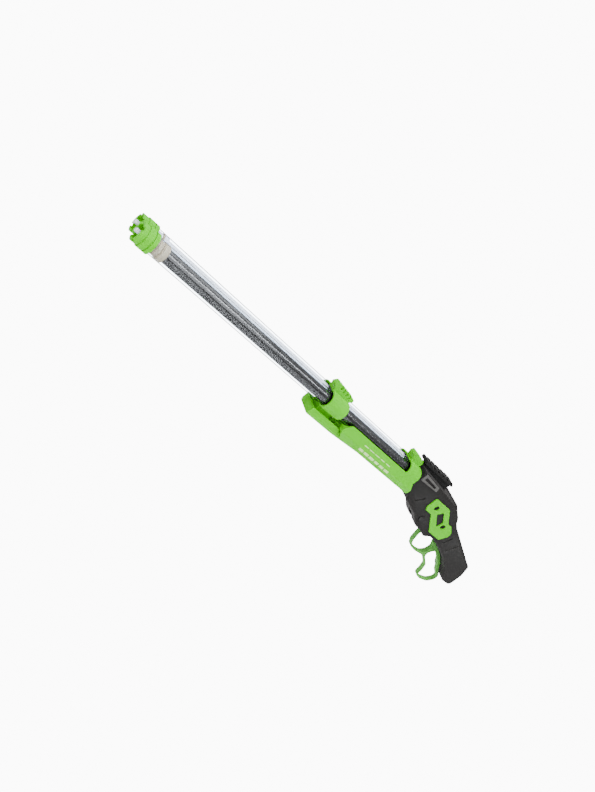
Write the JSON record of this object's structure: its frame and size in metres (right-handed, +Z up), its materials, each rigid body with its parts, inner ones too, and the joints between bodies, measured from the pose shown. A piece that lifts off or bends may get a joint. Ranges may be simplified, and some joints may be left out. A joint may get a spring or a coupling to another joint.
{
  "type": "pull-action water washer",
  "caption": "Hand-held pull-action washer with side-by-side clear cylinders, sliding fore-end, angled grip and swinging finger lever.",
  "frame": {"origin": "middle of the hand grip, on the middle plane", "axes": "+X along the cylinders towards the butt, nozzles towards -X, +Z up"},
  "size_m": [0.9226, 0.0568, 0.1858],
  "materials": {
    "green_plastic": "satin moulded, bright yellow-green",
    "black_plastic": "fine-grained matte black",
    "grey_panel": "matte dark grey",
    "dark_rod": "polished dark gunmetal",
    "clear_plastic": "clear polished tube",
    "ivory_plastic": "satin ivory",
    "white_plastic": "smooth white",
    "seal_rubber": "soft black rubber",
    "screw_steel": "black zinc-plated"
  },
  "bodies": {
    "receiver": {"receiver_left": "black_plastic", "receiver_right": "black_plastic", "receiver_screws": "screw_steel", "rod_yoke": "black_plastic", "rod_pins": "screw_steel", "rod_left": "dark_rod", "rod_right": "white_plastic", "piston_left": "ivory_plastic", "piston_right": "white_plastic", "piston_rings": "seal_rubber", "side_plate_left": "green_plastic", "side_plate_right": "green_plastic", "plate_screws": "screw_steel", "port_panel_left": "grey_panel", "port_panel_right": "grey_panel", "rail": "black_plastic", "rail_screws": "screw_steel", "pivot_pin": "screw_steel"},
    "barrel_group": {"cylinder_left": "clear_plastic", "cylinder_right": "clear_plastic", "muzzle_cap": "green_plastic", "nozzle_ring": "green_plastic", "nozzle_tip_left": "white_plastic", "nozzle_tip_right": "white_plastic", "front_band": "green_plastic", "front_gasket": "seal_rubber", "rear_band": "green_plastic", "rear_gasket": "seal_rubber", "glands": "black_plastic", "rod_wipers": "seal_rubber", "forend_left": "green_plastic", "forend_right": "green_plastic", "forend_screws": "screw_steel"},
    "lever": {"lever": "green_plastic", "lever_bush": "ivory_plastic"}
  },
  "joints": [
    {"name": "barrel_slide", "type": "slide", "parent": "receiver", "child": "barrel_group", "axis": [-1, 0, 0], "range_m": [0, 0.53]},
    {"name": "lever_hinge", "type": "hinge", "parent": "receiver", "child": "lever", "pos_m": [-0.104, 0, 0.003], "axis": [0, 1, 0], "range_deg": [0, 45]}
  ]
}
